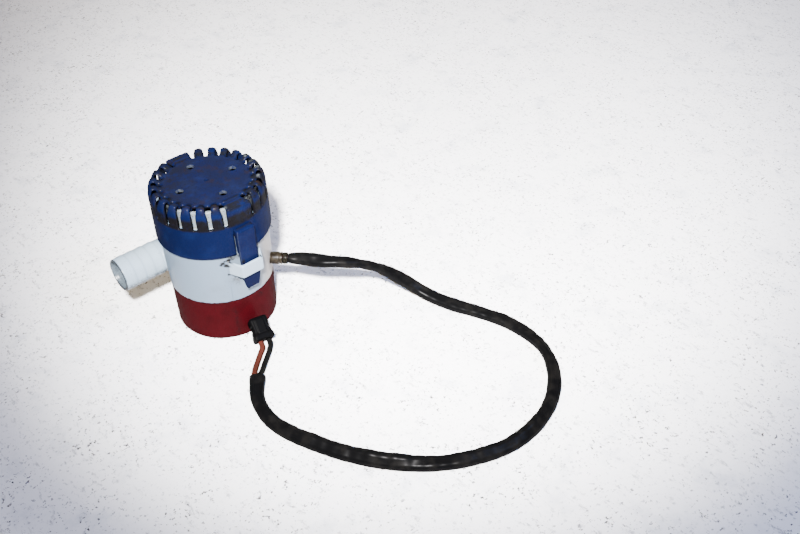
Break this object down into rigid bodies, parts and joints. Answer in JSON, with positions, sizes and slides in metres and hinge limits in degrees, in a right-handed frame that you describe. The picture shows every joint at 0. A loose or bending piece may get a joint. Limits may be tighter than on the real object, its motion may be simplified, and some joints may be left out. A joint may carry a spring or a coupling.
{
  "type": "bilge pump",
  "caption": "Small submersible bilge pump standing on its motor cap, with a slotted clip-on strainer, a side hose nozzle and a short cable that ends in a two-way connector.",
  "frame": {"origin": "centre of the motor cap's resting face", "axes": "+Z along the pump's axis from the cap to the strainer, -X along the outlet nozzle, the two snap tabs on -Y and +Y"},
  "size_m": [0.1603, 0.2154, 0.0878],
  "materials": {
    "blue_plastic": "moulded polypropylene, satin, worn and grimy between the slots",
    "white_plastic": "moulded ABS, satin",
    "red_plastic": "moulded ABS, satin gloss, deep red",
    "ivory_plastic": "moulded nylon",
    "black_rubber": "nitrile rubber or soft PVC, matt",
    "black_plastic": "moulded nylon, matt",
    "brown_pvc": "PVC wire insulation, red-brown",
    "black_pvc": "PVC wire insulation, black",
    "steel": "bright steel",
    "brass": "dull tan brass",
    "bronze": "dark oiled bronze",
    "copper": "enamelled copper wire and copper bars",
    "lamination": "electrical steel laminations",
    "ferrite": "sintered ferrite",
    "carbon": "copper-graphite brush"
  },
  "bodies": {
    "housing": {"pump_housing": "white_plastic", "outlet_nozzle": "white_plastic", "motor_pot": "white_plastic", "inlet_plate": "ivory_plastic", "motor_cap": "red_plastic", "cap_o_ring": "black_rubber", "shaft_seal": "black_rubber", "seal_washer": "steel", "motor_can": "steel", "motor_end_bell": "black_plastic", "drive_bearing": "bronze", "tail_bearing": "bronze", "gland_body": "brass", "gland_grommet": "black_rubber", "gland_ferrule": "bronze", "cable_sleeve": "black_rubber", "wire_brown": "brown_pvc", "wire_black": "black_pvc", "connector_body": "black_plastic", "inner_lead_brown": "brown_pvc", "inner_lead_black": "black_pvc", "magnet_1": "ferrite", "brush_1": "carbon", "brush_arm_1": "brass", "motor_terminal_1": "brass", "connector_contact_1": "brass", "wire_seal_1": "black_rubber", "magnet_2": "ferrite", "brush_2": "carbon", "brush_arm_2": "brass", "motor_terminal_2": "brass", "connector_contact_2": "brass", "wire_seal_2": "black_rubber"},
    "rotor": {"motor_shaft": "steel", "impeller": "ivory_plastic", "armature_core": "lamination", "commutator_core": "black_plastic", "thrust_washer_drive": "steel", "thrust_washer_tail": "steel", "armature_winding_1": "copper", "armature_winding_2": "copper", "armature_winding_3": "copper", "commutator_segment_1": "copper", "commutator_segment_2": "copper", "commutator_segment_3": "copper"},
    "strainer": {"strainer": "blue_plastic"},
    "tab_front": {"strainer_tab_front": "blue_plastic"},
    "tab_back": {"strainer_tab_back": "blue_plastic"}
  },
  "joints": [
    {"name": "rotor_spin", "type": "hinge", "parent": "housing", "child": "rotor", "pos_m": [0, 0, 0.04], "axis": [0, 0, 1], "continuous": true},
    {"name": "strainer_lift", "type": "slide", "parent": "housing", "child": "strainer", "axis": [0, 0, 1], "range_m": [0, 0.05]},
    {"name": "tab_front_flex", "type": "hinge", "parent": "strainer", "child": "tab_front", "pos_m": [0, -0.0321, 0.0699], "axis": [1, 0, 0], "range_deg": [0, 3.5], "stiffness_Nm_per_rad": 0.5},
    {"name": "tab_back_flex", "type": "hinge", "parent": "strainer", "child": "tab_back", "pos_m": [0, 0.0321, 0.0699], "axis": [-1, 0, 0], "range_deg": [0, 3.5], "stiffness_Nm_per_rad": 0.5}
  ]
}
